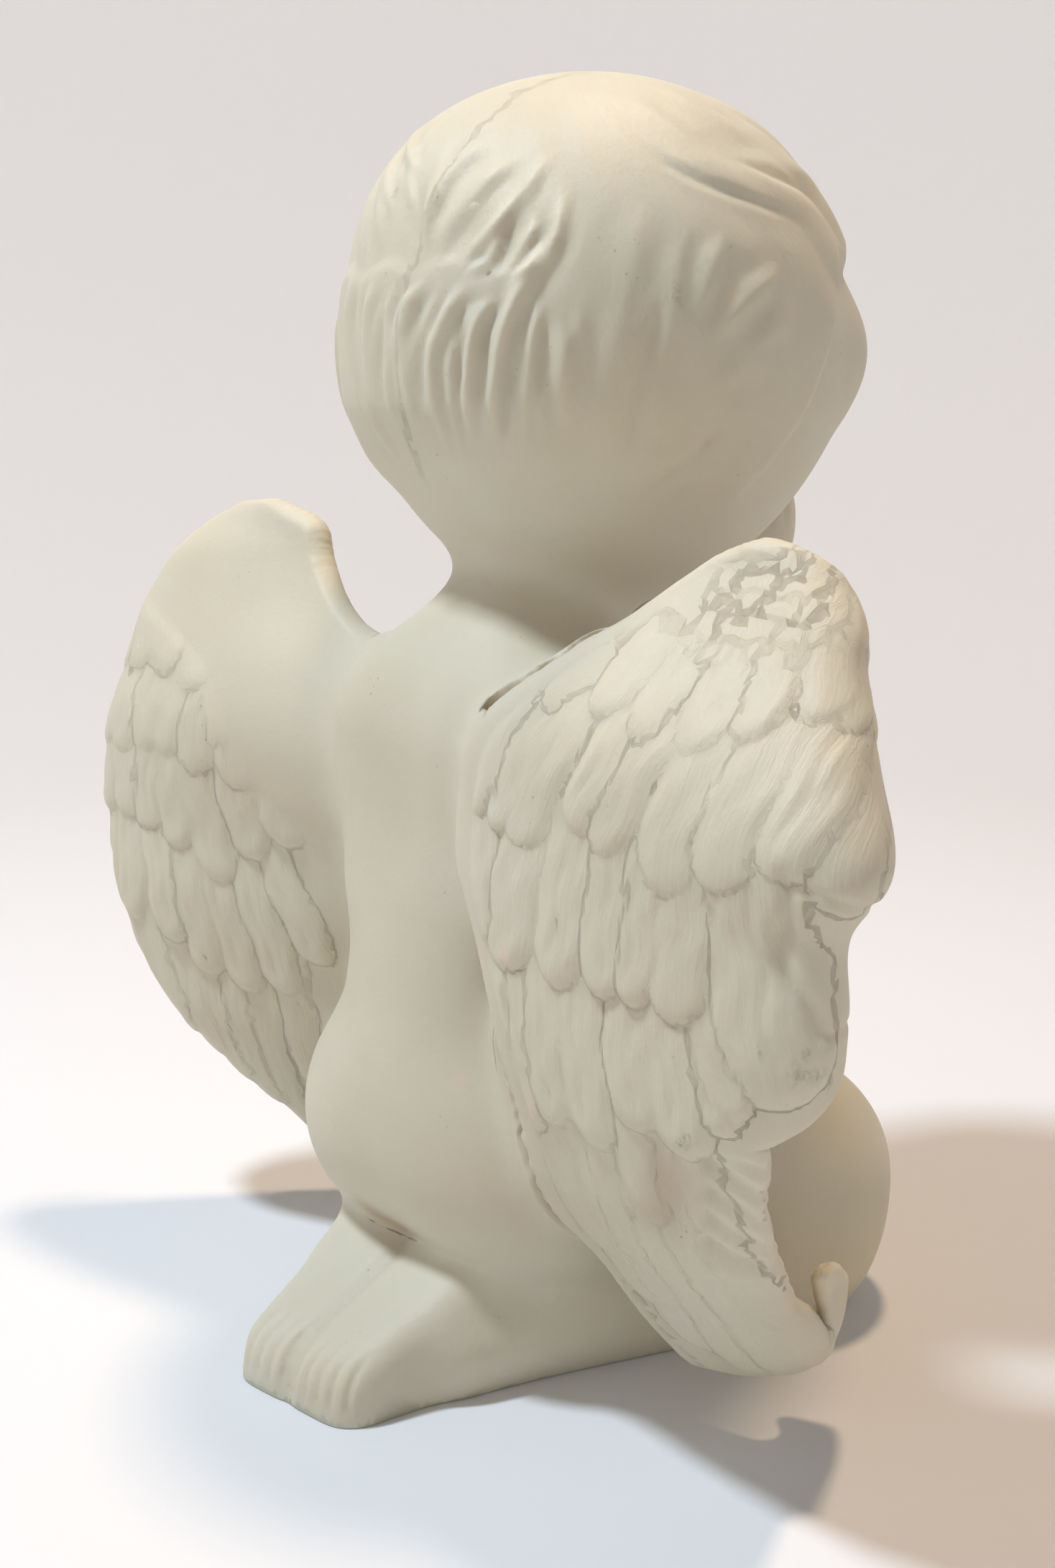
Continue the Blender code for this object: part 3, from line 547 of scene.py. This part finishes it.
def strokeHeight(q, strokes):
    r = np.linalg.norm(q, axis=1)
    u = q / np.maximum(r, 1e-6)[:, None]
    total = np.zeros(len(q))
    for stroke in strokes:
        *turns, width, height = stroke
        line = np.array(turns, float)
        # run a smooth curve through the given points
        s = np.linspace(0, len(line) - 1, 6 * (len(line) - 1) + 1)
        az, el = (np.interp(s, np.arange(len(line)), line[:, k]) for k in (0, 1))
        kernel = np.array([1, 2, 3, 2, 1]) / 9.0
        az, el = (np.convolve(np.pad(v, 2, mode="reflect", reflect_type="odd"), kernel, "valid") for v in (az, el))
        az, el = np.radians(az), np.radians(np.where(el < -6.0, el * 1.35 + 2.1, el))
        dots = np.stack([np.cos(el) * np.sin(az), -np.cos(el) * np.cos(az), np.sin(el)], axis=1)
        near = u @ dots.mean(axis=0) > 0.55
        width = 0.8 * width
        best, where = np.full(near.sum(), 1e9), np.zeros(near.sum())
        v = u[near]
        for k in range(len(dots) - 1):
            a, b = dots[k], dots[k + 1]
            t = np.clip((v - a) @ (b - a) / ((b - a) @ (b - a)), 0.0, 1.0)
            d = np.linalg.norm(v - a - t[:, None] * (b - a), axis=1) * 47.0
            closer = d < best
            best[closer], where[closer] = d[closer], (k + t[closer]) / (len(dots) - 1)
        fade = ease(where / 0.32) * ease((1.0 - where) / 0.36)
        swell = width * (0.45 + 0.55 * np.sin(math.pi * where))
        ridge = np.exp(-((best / swell) ** 2)) - 0.38 * np.exp(-(((best - 1.9 * swell) / (1.1 * swell)) ** 2))
        total[near] += height * fade * ridge
    return total


def hairRelief(p):
    q = inHead(p)
    r = np.linalg.norm(q, axis=1)
    u = q / np.maximum(r, 1e-6)[:, None]
    crown = headForm["crown"] / np.linalg.norm(headForm["crown"])
    first = np.cross(crown, np.array([1.0, 0.0, 0.0]))
    first /= np.linalg.norm(first)
    second = np.cross(crown, first)
    down = np.degrees(np.arccos(np.clip(u @ crown, -1.0, 1.0)))
    turn = np.arctan2(u @ second, u @ first)
    swirl = turn + 0.008 * down + 0.10 * np.sin(3.0 * turn + 1.0)
    fromFront = np.degrees(np.abs(np.arctan2(q[:, 0], q[:, 1])))
    line = 14.0 - 40.0 * ease((fromFront - 62.0) / 34.0)
    fringe = 1.0 - ease((fromFront - 70.0) / 20.0)
    fullest = headForm["fullest"] / np.linalg.norm(headForm["fullest"])
    scallop = np.abs(np.sin(swirl * 11.0)) * fringe
    cover = ease((q[:, 2] - line - 3.0 * scallop + 2.0 * (1.0 - fringe)) / (3.0 + 7.0 * (1.0 - fringe)))
    cover = cover * ease((r - 36.0) / 6.0)
    strokes = sum((strokeHeight(q, hairStrokes[name]) for name in hairStrokes), np.zeros(len(q)))
    lower, crest = hairStrokes["lower"], hairStrokes["crest"]
    extra = [between(a, b) for a, b in zip(lower, lower[1:])]
    extra += [between(crest[i], crest[j], share) for i, j, share in
              ((5, 10, 0.5), (10, 6, 0.35), (10, 6, 0.7), (6, 7, 0.5), (7, 8, 0.5), (8, 9, 0.5), (0, 5, 0.5))]
    strokes += strokeHeight(q, extra)
    # mirrored and turned copies of the strokes dress the left side of the head
    mirrored = np.stack([-q[:, 0], q[:, 1], q[:, 2]], axis=1)
    other = strokeHeight(mirrored, hairStrokes["flap"]) + strokeHeight(mirrored, hairStrokes["shade"])
    c, s = math.cos(math.radians(58)), math.sin(math.radians(58))
    turned = np.stack([q[:, 0] * c + q[:, 1] * s, -q[:, 0] * s + q[:, 1] * c, q[:, 2]], axis=1)
    azimuth = np.degrees(np.arctan2(q[:, 0], -q[:, 1]))
    sideBack = ease((azimuth - 32.0) / 12.0) * (q[:, 0] > 0) * ease((100.0 - azimuth) / 20.0)
    other += strokeHeight(turned, hairStrokes["lower"]) * sideBack
    strokes += other
    # the lower locks begin with round ends that stand out of a hollow
    elevation = np.degrees(np.arcsin(np.clip(u[:, 2], -1.0, 1.0)))
    tierLine = 11.0 + 2.6 * np.abs(np.sin(np.radians(azimuth + 1.5 * np.sin(azimuth * 0.21)) * 9.5 + 0.6))
    tierSpan = ease((azimuth + 36.0) / 8.0) * ease((75.0 - azimuth) / 20.0)
    tier = -ease((elevation - tierLine) / 4.0) * ease((34.0 - elevation) / 18.0) * tierSpan
    fuller = np.exp(-((np.degrees(np.arccos(np.clip(u @ fullest, -1.0, 1.0))) / 30.0) ** 2))
    locks = np.cos(swirl * 26.0 + 2.0 * np.sin(turn * 2.0)) * 0.10 * ease((down - 12.0) / 20.0)
    locks += np.abs(np.sin(swirl * 11.0)) * 0.9 * fringe * ease((down - 18.0) / 24.0)
    height = cover * (headForm["hair"] * 0.62 + tier * 0.6 + locks + strokes * 1.05 + fuller * 2.6)
    return height, cover, swirl * 40.0, down


def smallForms(p, normals):  # toes, finger lines, eyelids, nostrils and a navel
    q = inHead(p)
    c = casting
    toes = ease((p[:, 1] - c["toeY"] + 10.0) / 6.0) * ease((p[:, 2] - 1.0) / 3.0)
    lanes = np.abs(np.sin(math.pi * p[:, 0] / 3.1)) ** 6
    out = -toes * 0.6 * lanes * (np.abs(p[:, 0]) > 1.5) * (np.abs(p[:, 0]) < 14.5)
    fingers = ease((p[:, 2] - 148.0) / 4.0) * (p[:, 1] < -52.0) * (np.abs(p[:, 0]) < 12.0) * (p[:, 2] < 170.0)
    out -= fingers * 0.75 * np.abs(np.cos(math.pi * (p[:, 1] + 60.0) / 4.2)) ** 8 * ease(np.abs(normals[:, 0]) * 2.0)
    face = (q[:, 1] > 25) * (np.abs(q[:, 0]) < 30)
    for side in (-1, 1):
        x = (q[:, 0] - side * 13.5) / 5.6
        lid = q[:, 2] - (5.4 - 1.1 * (1.0 - x**2))
        out -= face * 0.55 * np.exp(-((lid / 0.55) ** 2)) * ease((1.1 - np.abs(x)) / 0.3)
        fold = q[:, 2] - (11.2 + 0.9 * (1.0 - x**2))
        out -= face * 0.35 * np.exp(-((fold / 0.7) ** 2)) * ease((1.15 - np.abs(x)) / 0.3)
        brow = q[:, 2] - (16.2 + 1.4 * (1.0 - (x * 0.8) ** 2))
        out += face * 0.45 * np.exp(-((brow / 1.2) ** 2)) * ease((1.35 - np.abs(x)) / 0.4)
        hole = np.linalg.norm((q - np.array([side * 1.7, 47.3, -3.6])) / np.array([1.0, 1.6, 0.8]), axis=1)
        out -= face * 0.7 * np.exp(-((hole / 0.9) ** 2))
    mouth = q[:, 2] + 10.0 + 0.45 * np.cos(q[:, 0] * 0.9)
    out -= face * 0.6 * np.exp(-((mouth / 0.5) ** 2)) * ease((6.2 - np.abs(q[:, 0])) / 1.5)
    out -= face * 0.35 * np.exp(-((q[:, 0] / 0.9) ** 2)) * np.exp(-(((q[:, 2] + 5.6) / 1.5) ** 2))
    navel = np.linalg.norm((p - np.array([0.0, -20.5, 78.0])) / np.array([1.0, 3.0, 1.3]), axis=1)
    out -= 1.2 * np.exp(-((navel / 1.3) ** 2))
    return out


def wingSides(p, sheet, normals, rows):  # relief, strand coordinates and how much of the wing's outside a point is
    d, away, spots, front, cell = wingDistance(p, sheet, normals, 8.0)
    arc = np.where(cell >= 0, sheet["arc"][cell], 0.0)
    z = spots[:, 2]
    # finer place along the arc than its cell gives
    cornerPoint = sheet["points"][np.maximum(cell, 0)]
    arc = arc + np.linalg.norm((spots - cornerPoint)[:, :2], axis=1) * (cell >= 0)
    near = (cell >= 0) * ease((3.2 - np.abs(d)) / 2.0)
    fade = ease((arc - 1.5) / 4.0)
    if sheet["side"] > 0:
        fade = ease((arc - 6.0 - np.clip(z - 96.0, 0.0, 60.0) * 0.55) / 9.0)
        fade *= ease((arc + (84.0 - z) * 0.8 - 14.0) / 8.0)
    else:
        fade *= ease((154.0 - z) / 4.0)
    back = ease(0.5 + front * 0.9)
    height, across, along = featherRelief(arc, z, rows, wingForm["left" if sheet["side"] > 0 else "right"]["inner"])
    inner = 0.22 * np.cos(arc * 0.72 + 0.6 * np.sin(z * 0.12)) * ease((118.0 - z) / 20.0)
    outside = near * fade * back
    relief = outside * height + near * (1.0 - back) * inner * ease((arc - 12.0) / 8.0)
    if sheet["side"] < 0:
        # wavy groove between the back feathers and the forward band, and two lines across that band
        groove = arc - (66.9 + 1.1 * np.sin((z - 84.0) * 0.36))
        relief -= outside * 1.1 * np.exp(-((groove / 1.3) ** 2)) * ease((z - 85.0) / 3.0) * ease((112.0 - z) / 3.0)
        for lineZ, slope in ((108.6, -0.28), (86.8, -0.10)):
            cut = z - lineZ - (arc - 70.5) * slope
            relief -= outside * 0.6 * np.exp(-((cut / 0.55) ** 2)) * ease((arc - 67.0) / 2.0)
        # the hollow vane panel beside the break, with slanted ridges
        left = 33.6 + (z - 44.6) * 0.42
        panel = ease((arc - left) / 2.0) * ease((left + 14.5 - arc) / 2.0) * ease((z - 44.0) / 3.0) * ease((67.5 - z) / 3.0)
        relief -= outside * panel * (1.4 - 0.45 * np.cos((z + 0.62 * arc) * 1.0))
        pit = np.linalg.norm(p - np.array([-87.3, 38.7, 79.6]), axis=1)
        relief -= 0.8 * np.exp(-((pit / 1.5) ** 2))
    return relief, outside, across, along


def keepLargest(mesh):
    bm = bmesh.new()
    bm.from_mesh(mesh)
    bm.verts.ensure_lookup_table()
    seen, groups = np.zeros(len(bm.verts), bool), []
    for start in bm.verts:
        if seen[start.index]:
            continue
        seen[start.index] = True
        group, stack = [], [start]
        while stack:
            v = stack.pop()
            group.append(v)
            for e in v.link_edges:
                o = e.other_vert(v)
                if not seen[o.index]:
                    seen[o.index] = True
                    stack.append(o)
        groups.append(group)
    groups.sort(key=len)
    for group in groups[:-1]:
        bmesh.ops.delete(bm, geom=group, context="VERTS")
    bm.to_mesh(mesh)
    bm.free()
    return len(groups)


def cutAtFloor(mesh):
    bm = bmesh.new()
    bm.from_mesh(mesh)
    cut = bmesh.ops.bisect_plane(bm, geom=list(bm.verts) + list(bm.edges) + list(bm.faces), dist=1e-6,
                                 plane_co=(0, 0, 0), plane_no=(0, 0, 1), clear_inner=True)
    edges = [e for e in cut["geom_cut"] if isinstance(e, bmesh.types.BMEdge)]
    bmesh.ops.holes_fill(bm, edges=edges, sides=0)
    bmesh.ops.triangulate(bm, faces=[f for f in bm.faces if len(f.verts) > 4])
    bmesh.ops.recalc_face_normals(bm, faces=list(bm.faces))
    bm.to_mesh(mesh)
    bm.free()


def neighbourMean(mesh):  # a function that gives each point the mean of its neighbours' values
    edges = np.empty(len(mesh.edges) * 2, np.int64)
    mesh.edges.foreach_get("vertices", edges)
    a, b = edges.reshape(-1, 2).T
    total = len(mesh.vertices)
    count = np.maximum(np.bincount(np.concatenate([a, b]), minlength=total), 1)

    def spread(values):
        return (np.bincount(a, values[b], total) + np.bincount(b, values[a], total)) / count

    return spread


def smoothed(mesh, points, rounds):
    spread = neighbourMean(mesh)
    for _ in range(rounds):
        points = 0.5 * points + 0.5 * np.stack([spread(points[:, k]) for k in range(3)], axis=1)
    return points


def creases(mesh, points, rounds=3):  # above 0 on ridges, below 0 in hollows
    spread = neighbourMean(mesh)
    mean = np.stack([spread(points[:, k]) for k in range(3)], axis=1)
    lift = ((points - mean) * vertexNormals(mesh)).sum(axis=1)
    for _ in range(rounds):
        lift = 0.5 * lift + 0.5 * spread(lift)
    return lift


def floatLayer(mesh, name, values):
    layer = mesh.attributes.new(name, "FLOAT", "POINT")
    layer.data.foreach_set("value", np.asarray(values, np.float32))


def castFigure():
    sheets = [wingSheet(wingForm["left"], 1, False), wingSheet(wingForm["right"], -1, True)]
    rows = [leftFeathers, rightFeathers + [tufts(wingForm["right"], 147.5, 128.5, 58.0, 86.0)]]
    obj = roughFigure(sheets)
    skin = obj.modifiers.new("skin", "REMESH")
    skin.mode = "VOXEL"
    skin.voxel_size = casting["voxel"]
    applyModifiers(obj)
    keepLargest(obj.data)
    print("skin points", len(obj.data.vertices))
    p = smoothed(obj.data, settle(obj.data, sheets, 3), 4)
    place(obj.data, p)
    normals = vertexNormals(obj.data)
    out = hairRelief(p)[0] + smallForms(p, normals)
    for sheet, row in zip(sheets, rows):
        out = out + wingSides(p, sheet, normals, row)[0]
    place(obj.data, smoothed(obj.data, p + normals * out[:, None], 2))
    print("relief", float(out.min()), float(out.max()))
    fewer = obj.modifiers.new("fewer", "DECIMATE")
    fewer.ratio = min(1.0, casting["triangles"] / (2.0 * len(obj.data.polygons)))
    applyModifiers(obj)
    cutAtFloor(obj.data)
    keepLargest(obj.data)
    p, normals = coordinates(obj.data), vertexNormals(obj.data)
    # what the finish reads at each point: strand lines, painted crease shade, wing and hair
    hair, cover, swirl, down = hairRelief(p)
    strandX, strandY, wing = swirl.copy(), down.copy(), np.zeros(len(p))
    for sheet, row in zip(sheets, rows):
        relief, outside, across, along = wingSides(p, sheet, normals, row)
        strandX = np.where(outside > 0.02, across, strandX)
        strandY = np.where(outside > 0.02, along, strandY)
        wing = np.maximum(wing, outside)
    floatLayer(obj.data, "strandX", strandX)
    floatLayer(obj.data, "strandY", strandY)
    floatLayer(obj.data, "wing", wing)
    floatLayer(obj.data, "hair", cover)
    for name, spots in marks.items():
        value = np.zeros(len(p))
        for spot, radius, strength in spots:
            value += strength * np.exp(-((np.linalg.norm(p - np.array(spot), axis=1) / radius) ** 2))
        floatLayer(obj.data, name, value)
    # painted shade: how deep each point lies in a crease, used to darken creases in the finish
    floatLayer(obj.data, "paintedShade", np.clip(-creases(obj.data, p) * 11.0, 0.0, 1.0))
    place(obj.data, (p - np.array(casting["middle"])) * 0.001)
    for polygon in obj.data.polygons:
        polygon.use_smooth = True
    print("figure triangles", sum(len(f.vertices) - 2 for f in obj.data.polygons))
    return obj


# ---------------------------------------------------------------- finish
class Sock:  # a socket that takes plain arithmetic
    def __init__(self, tree, socket):
        self.tree, self.socket = tree, socket

    def math(self, operation, *others):
        node = self.tree.nodes.new("ShaderNodeMath")
        node.operation = operation
        for slot, value in zip(node.inputs, (self, *others)):
            if isinstance(value, Sock):
                self.tree.links.new(value.socket, slot)
            else:
                slot.default_value = value
        return Sock(self.tree, node.outputs[0])

    def flipped(self, operation, other):
        node = self.tree.nodes.new("ShaderNodeMath")
        node.operation = operation
        node.inputs[0].default_value = other
        self.tree.links.new(self.socket, node.inputs[1])
        return Sock(self.tree, node.outputs[0])

    def __add__(self, other):
        return self.math("ADD", other)

    __radd__ = __add__

    def __mul__(self, other):
        return self.math("MULTIPLY", other)

    __rmul__ = __mul__

    def __sub__(self, other):
        return self.math("SUBTRACT", other)

    def __rsub__(self, other):
        return self.flipped("SUBTRACT", other)

    def __truediv__(self, other):
        return self.math("DIVIDE", other)

    def __rtruediv__(self, other):
        return self.flipped("DIVIDE", other)

    def __pow__(self, other):
        return self.math("POWER", other)

    def clamped(self):
        return self.math("MINIMUM", 1.0).math("MAXIMUM", 0.0)

    def above(self, low, high):  # 0 below low, 1 above high
        return ((self - low) / (high - low)).clamped()


class Finish:  # one material and its nodes
    def __init__(self, name):
        self.material = bpy.data.materials.new(name)
        self.material.use_nodes = True
        self.tree = self.material.node_tree
        self.shader = self.tree.nodes["Principled BSDF"]

    def node(self, kind, settings=None, sockets=None, out=0):
        node = self.tree.nodes.new(kind)
        for key, value in (settings or {}).items():
            if key == "stops":
                for i, (place_, colour) in enumerate(value):
                    stop = node.color_ramp.elements[i] if i < 2 else node.color_ramp.elements.new(place_)
                    stop.position, stop.color = place_, colour
            else:
                setattr(node, key, value)
        for key, value in (sockets or {}).items():
            if isinstance(value, Sock):
                self.tree.links.new(value.socket, node.inputs[key])
            else:
                node.inputs[key].default_value = value
        return Sock(self.tree, node.outputs[out])

    def feed(self, name, value):
        self.tree.links.new(value.socket, self.shader.inputs[name])

    def layer(self, name):
        return self.node("ShaderNodeAttribute", {"attribute_name": name}, out=2)

    def noise(self, where, scale, detail=2.0, rough=0.5):
        return self.node("ShaderNodeTexNoise", None,
                         {"Vector": where, "Scale": scale, "Detail": detail, "Roughness": rough})

    def mix(self, amount, a, b, blend="MIX"):
        return self.node("ShaderNodeMix", {"data_type": "RGBA", "blend_type": blend},
                         {0: amount, 6: a, 7: b}, out=2)


# the dark brown tone is painted shade for creases and for the marked shade patches
bisqueLook = dict(
    cream=(0.56, 0.505, 0.375, 1.0), pale=(0.59, 0.555, 0.44, 1.0), paintedShade=(0.40, 0.30, 0.19, 1.0),
    blush=(0.70, 0.52, 0.43, 1.0), speck=(0.05, 0.045, 0.04, 1.0),
    rough=0.56, scatter=0.22, scatterScale=0.005,
    grain=0.00006, strand=0.00016,
)


def bisqueFinish():
    look = bisqueLook
    f = Finish("matt bisque")
    where = f.node("ShaderNodeTexCoord", out=3)
    wing, hair, paintedShade = f.layer("wing"), f.layer("hair"), f.layer("paintedShade")
    strands = f.node("ShaderNodeCombineXYZ", None, {"X": f.layer("strandX") * 1.6, "Y": f.layer("strandY") * 0.16})
    cloud = f.noise(where, 22.0, 3.0)
    fine = f.noise(where, 900.0, 2.0, 0.6)
    pits = f.noise(where, 260.0, 3.0, 0.6)
    lines = f.noise(strands, 1.0, 2.0, 0.55)
    tone = f.mix(cloud.above(0.35, 0.65), look["cream"], look["pale"])
    # painted shade: creases and the marked shade patches are darkened towards the brown shade tone; this noise makes
    # the crease shade patchy
    shadeNoise = f.noise(where, 60.0, 3.0, 0.6).above(0.40, 0.70)
    tone = f.mix((paintedShade * (0.12 + shadeNoise * 0.24) + f.layer("shadePatch") * 0.75).clamped(), tone, look["paintedShade"])
    pink = f.noise(where, 45.0, 2.0).above(0.62, 0.74) * wing * 0.12 + f.layer("blush") * 0.8
    tone = f.mix(pink.clamped(), tone, look["blush"])
    # tiny dark specks in the fired surface
    cells = f.node("ShaderNodeTexVoronoi", None, {"Vector": where, "Scale": 420.0})
    rare = f.noise(where, 75.0, 2.0, 0.6).above(0.60, 0.74)
    specks = (1.0 - cells.above(0.07, 0.13)) * rare * 0.45
    smudges = f.layer("smudge") * f.noise(where, 1400.0, 2.0).above(0.35, 0.60)
    tone = f.mix((specks + smudges).clamped(), tone, look["speck"])
    f.feed("Base Color", tone)
    f.feed("Roughness", look["rough"] + (fine - 0.5) * 0.10)
    height = lines * (wing * 0.9 + hair * 0.35) * look["strand"] + fine * look["grain"] + pits * look["grain"] * 0.8
    bump = f.node("ShaderNodeBump", None, {"Height": height, "Strength": 1.0, "Distance": 1.0})
    f.feed("Normal", bump)
    f.shader.inputs["Subsurface Weight"].default_value = look["scatter"]
    f.shader.inputs["Subsurface Radius"].default_value = (1.0, 0.55, 0.30)
    f.shader.inputs["Subsurface Scale"].default_value = look["scatterScale"]
    f.shader.inputs["Specular IOR Level"].default_value = 0.4
    return f.material


figure = castFigure()
figure.data.materials.clear()
figure.data.materials.append(bisqueFinish())
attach(figure, "root")
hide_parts("angel_figure")
print("figure ready")

# ---------------------------------------------------------------- studio
studio = dict(
    floorRadius=0.50, sweep=0.36, wall=0.50, floorColour=(0.75, 0.755, 0.76, 1.0),
    cool=dict(turn=101, up=66, distance=0.90, size=0.11, power=7.2, colour=(0.76, 0.87, 1.0)),
    warm=dict(turn=-33, up=77, distance=0.95, size=0.11, power=4.9, colour=(1.0, 0.73, 0.50)),
    world=(1.0, 0.76, 0.48, 1.0), worldStrength=0.04,
)
cameraSpot = Vector((-0.25050, 0.23788, 0.1780))
cameraLook = Vector((0.7148, -0.6666, -0.2113))


def paperSweep():  # a floor that curves up on all sides
    s = studio
    profile = [(0.0, 0.0)] + [(r, 0.0) for r in np.linspace(0.2, s["floorRadius"], 8)]
    for t in np.linspace(0.0, math.pi / 2, 16)[1:]:
        profile.append((s["floorRadius"] + s["sweep"] * math.sin(t), s["sweep"] * (1.0 - math.cos(t))))
    profile.append((s["floorRadius"] + s["sweep"], s["sweep"] + s["wall"]))
    bm = bmesh.new()
    rings = 96
    centre = bm.verts.new((0.0, 0.0, -0.0002))
    last = None
    for radius, z in profile[1:]:
        turns = [2 * math.pi * i / rings for i in range(rings)]
        ring = [bm.verts.new((radius * math.cos(t), radius * math.sin(t), z - 0.0002)) for t in turns]
        for i in range(rings):
            if last is None:
                bm.faces.new((centre, ring[i], ring[(i + 1) % rings]))
            else:
                bm.faces.new((last[i], ring[i], ring[(i + 1) % rings], last[(i + 1) % rings]))
        last = ring
    mesh = bpy.data.meshes.new("paperSweep")
    bm.to_mesh(mesh)
    bm.free()
    for polygon in mesh.polygons:
        polygon.use_smooth = True
    floor = bpy.data.objects.new("paperSweep", mesh)
    bpy.context.scene.collection.objects.link(floor)
    f = Finish("pale paper")
    f.shader.inputs["Base Color"].default_value = s["floorColour"]
    f.shader.inputs["Roughness"].default_value = 0.9
    f.shader.inputs["Specular IOR Level"].default_value = 0.2
    mesh.materials.append(f.material)


def softLight(name, turn, up, distance, size, power, colour):
    # turn is in degrees: 0 is behind the figure as the camera sees it, 90 is on the picture's left
    away = Vector((cameraLook.x, cameraLook.y, 0.0)).normalized()
    left = Vector((-away.y, away.x, 0.0))
    t, e = math.radians(turn), math.radians(up)
    spot = (away * math.cos(t) + left * math.sin(t)) * math.cos(e) + Vector((0, 0, math.sin(e)))
    data = bpy.data.lights.new(name, "AREA")
    data.shape, data.size, data.energy, data.color = "DISK", size, power, colour
    lamp = bpy.data.objects.new(name, data)
    lamp.location = spot * distance + Vector((0, 0, 0.1))
    lamp.rotation_mode = "QUATERNION"
    lamp.rotation_quaternion = (-spot).to_track_quat("-Z", "Y")
    bpy.context.scene.collection.objects.link(lamp)


paperSweep()
softLight("coolSoftLight", **studio["cool"])
softLight("warmSoftLight", **studio["warm"])
world = bpy.data.worlds.new("studio")
world.use_nodes = True
world.node_tree.nodes["Background"].inputs[0].default_value = studio["world"]
world.node_tree.nodes["Background"].inputs[1].default_value = studio["worldStrength"]
bpy.context.scene.world = world

cameraData = bpy.data.cameras.new("camera")
cameraData.sensor_fit = "AUTO"
cameraData.sensor_width = 36.0
cameraData.lens = 42.92
cameraData.clip_start = 0.01
camera = bpy.data.objects.new("camera", cameraData)
camera.location = cameraSpot
camera.rotation_mode = "QUATERNION"
camera.rotation_quaternion = cameraLook.to_track_quat("-Z", "Y")
bpy.context.scene.collection.objects.link(camera)
bpy.context.scene.camera = camera
bpy.context.scene.view_settings.view_transform = "Standard"
